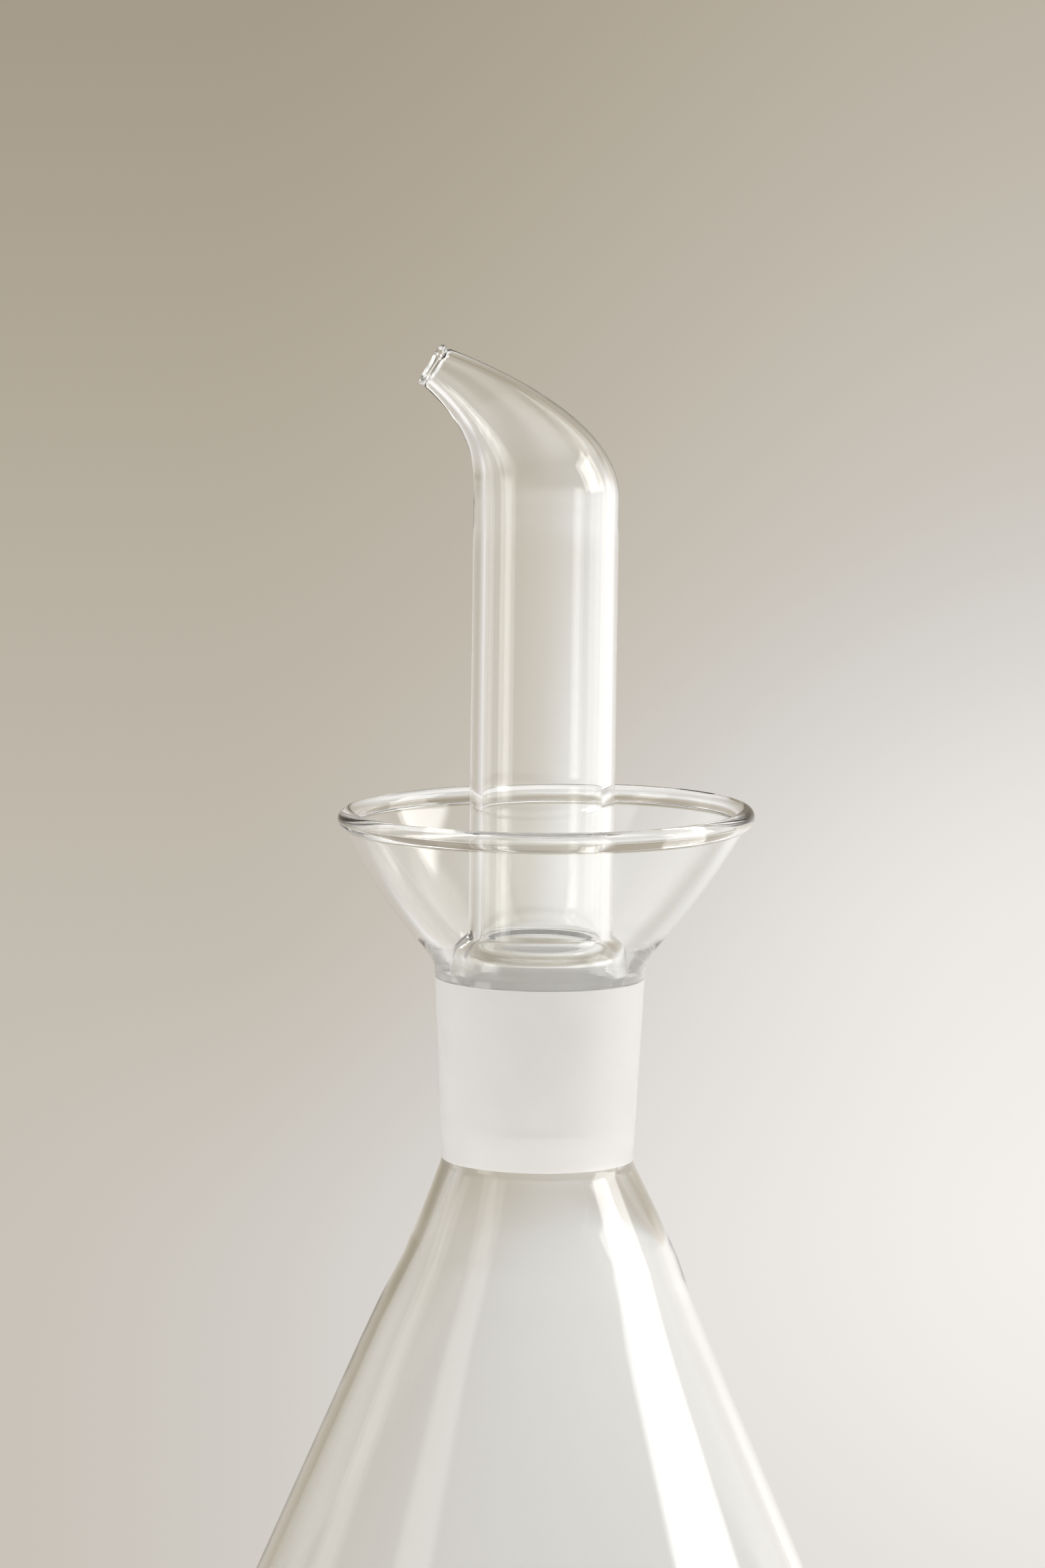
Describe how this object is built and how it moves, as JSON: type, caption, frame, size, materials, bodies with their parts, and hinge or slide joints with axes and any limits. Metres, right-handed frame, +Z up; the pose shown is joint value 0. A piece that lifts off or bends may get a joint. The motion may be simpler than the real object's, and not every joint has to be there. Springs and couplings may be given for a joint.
{
  "type": "glass oil bottle",
  "caption": "Clear conical glass oil cruet with a ground taper neck, a drip funnel, and a lift-out hollow stopper with a bent, drawn pouring spout.",
  "frame": {"origin": "centre of the base, on the plane the bottle stands on", "axes": "+Z up along the bottle's axis; at rest the spout points to -X"},
  "size_m": [0.113, 0.113, 0.2395],
  "materials": {
    "clear_glass": "polished clear borosilicate",
    "frosted_glass": "ground, frosted"
  },
  "bodies": {
    "flask": {"flask_body": "clear_glass", "ground_socket": "frosted_glass", "drip_funnel": "clear_glass"},
    "stopper_taper": {"stopper_cone": "frosted_glass"},
    "stopper": {"pouring_spout": "clear_glass"}
  },
  "joints": [
    {"name": "stopper_lift", "type": "slide", "parent": "flask", "child": "stopper_taper", "axis": [0, 0, 1], "range_m": [0, 0.06]},
    {"name": "stopper_turn", "type": "hinge", "parent": "stopper_taper", "child": "stopper", "pos_m": [0, 0, 0.1374], "axis": [0, 0, 1], "continuous": true}
  ]
}
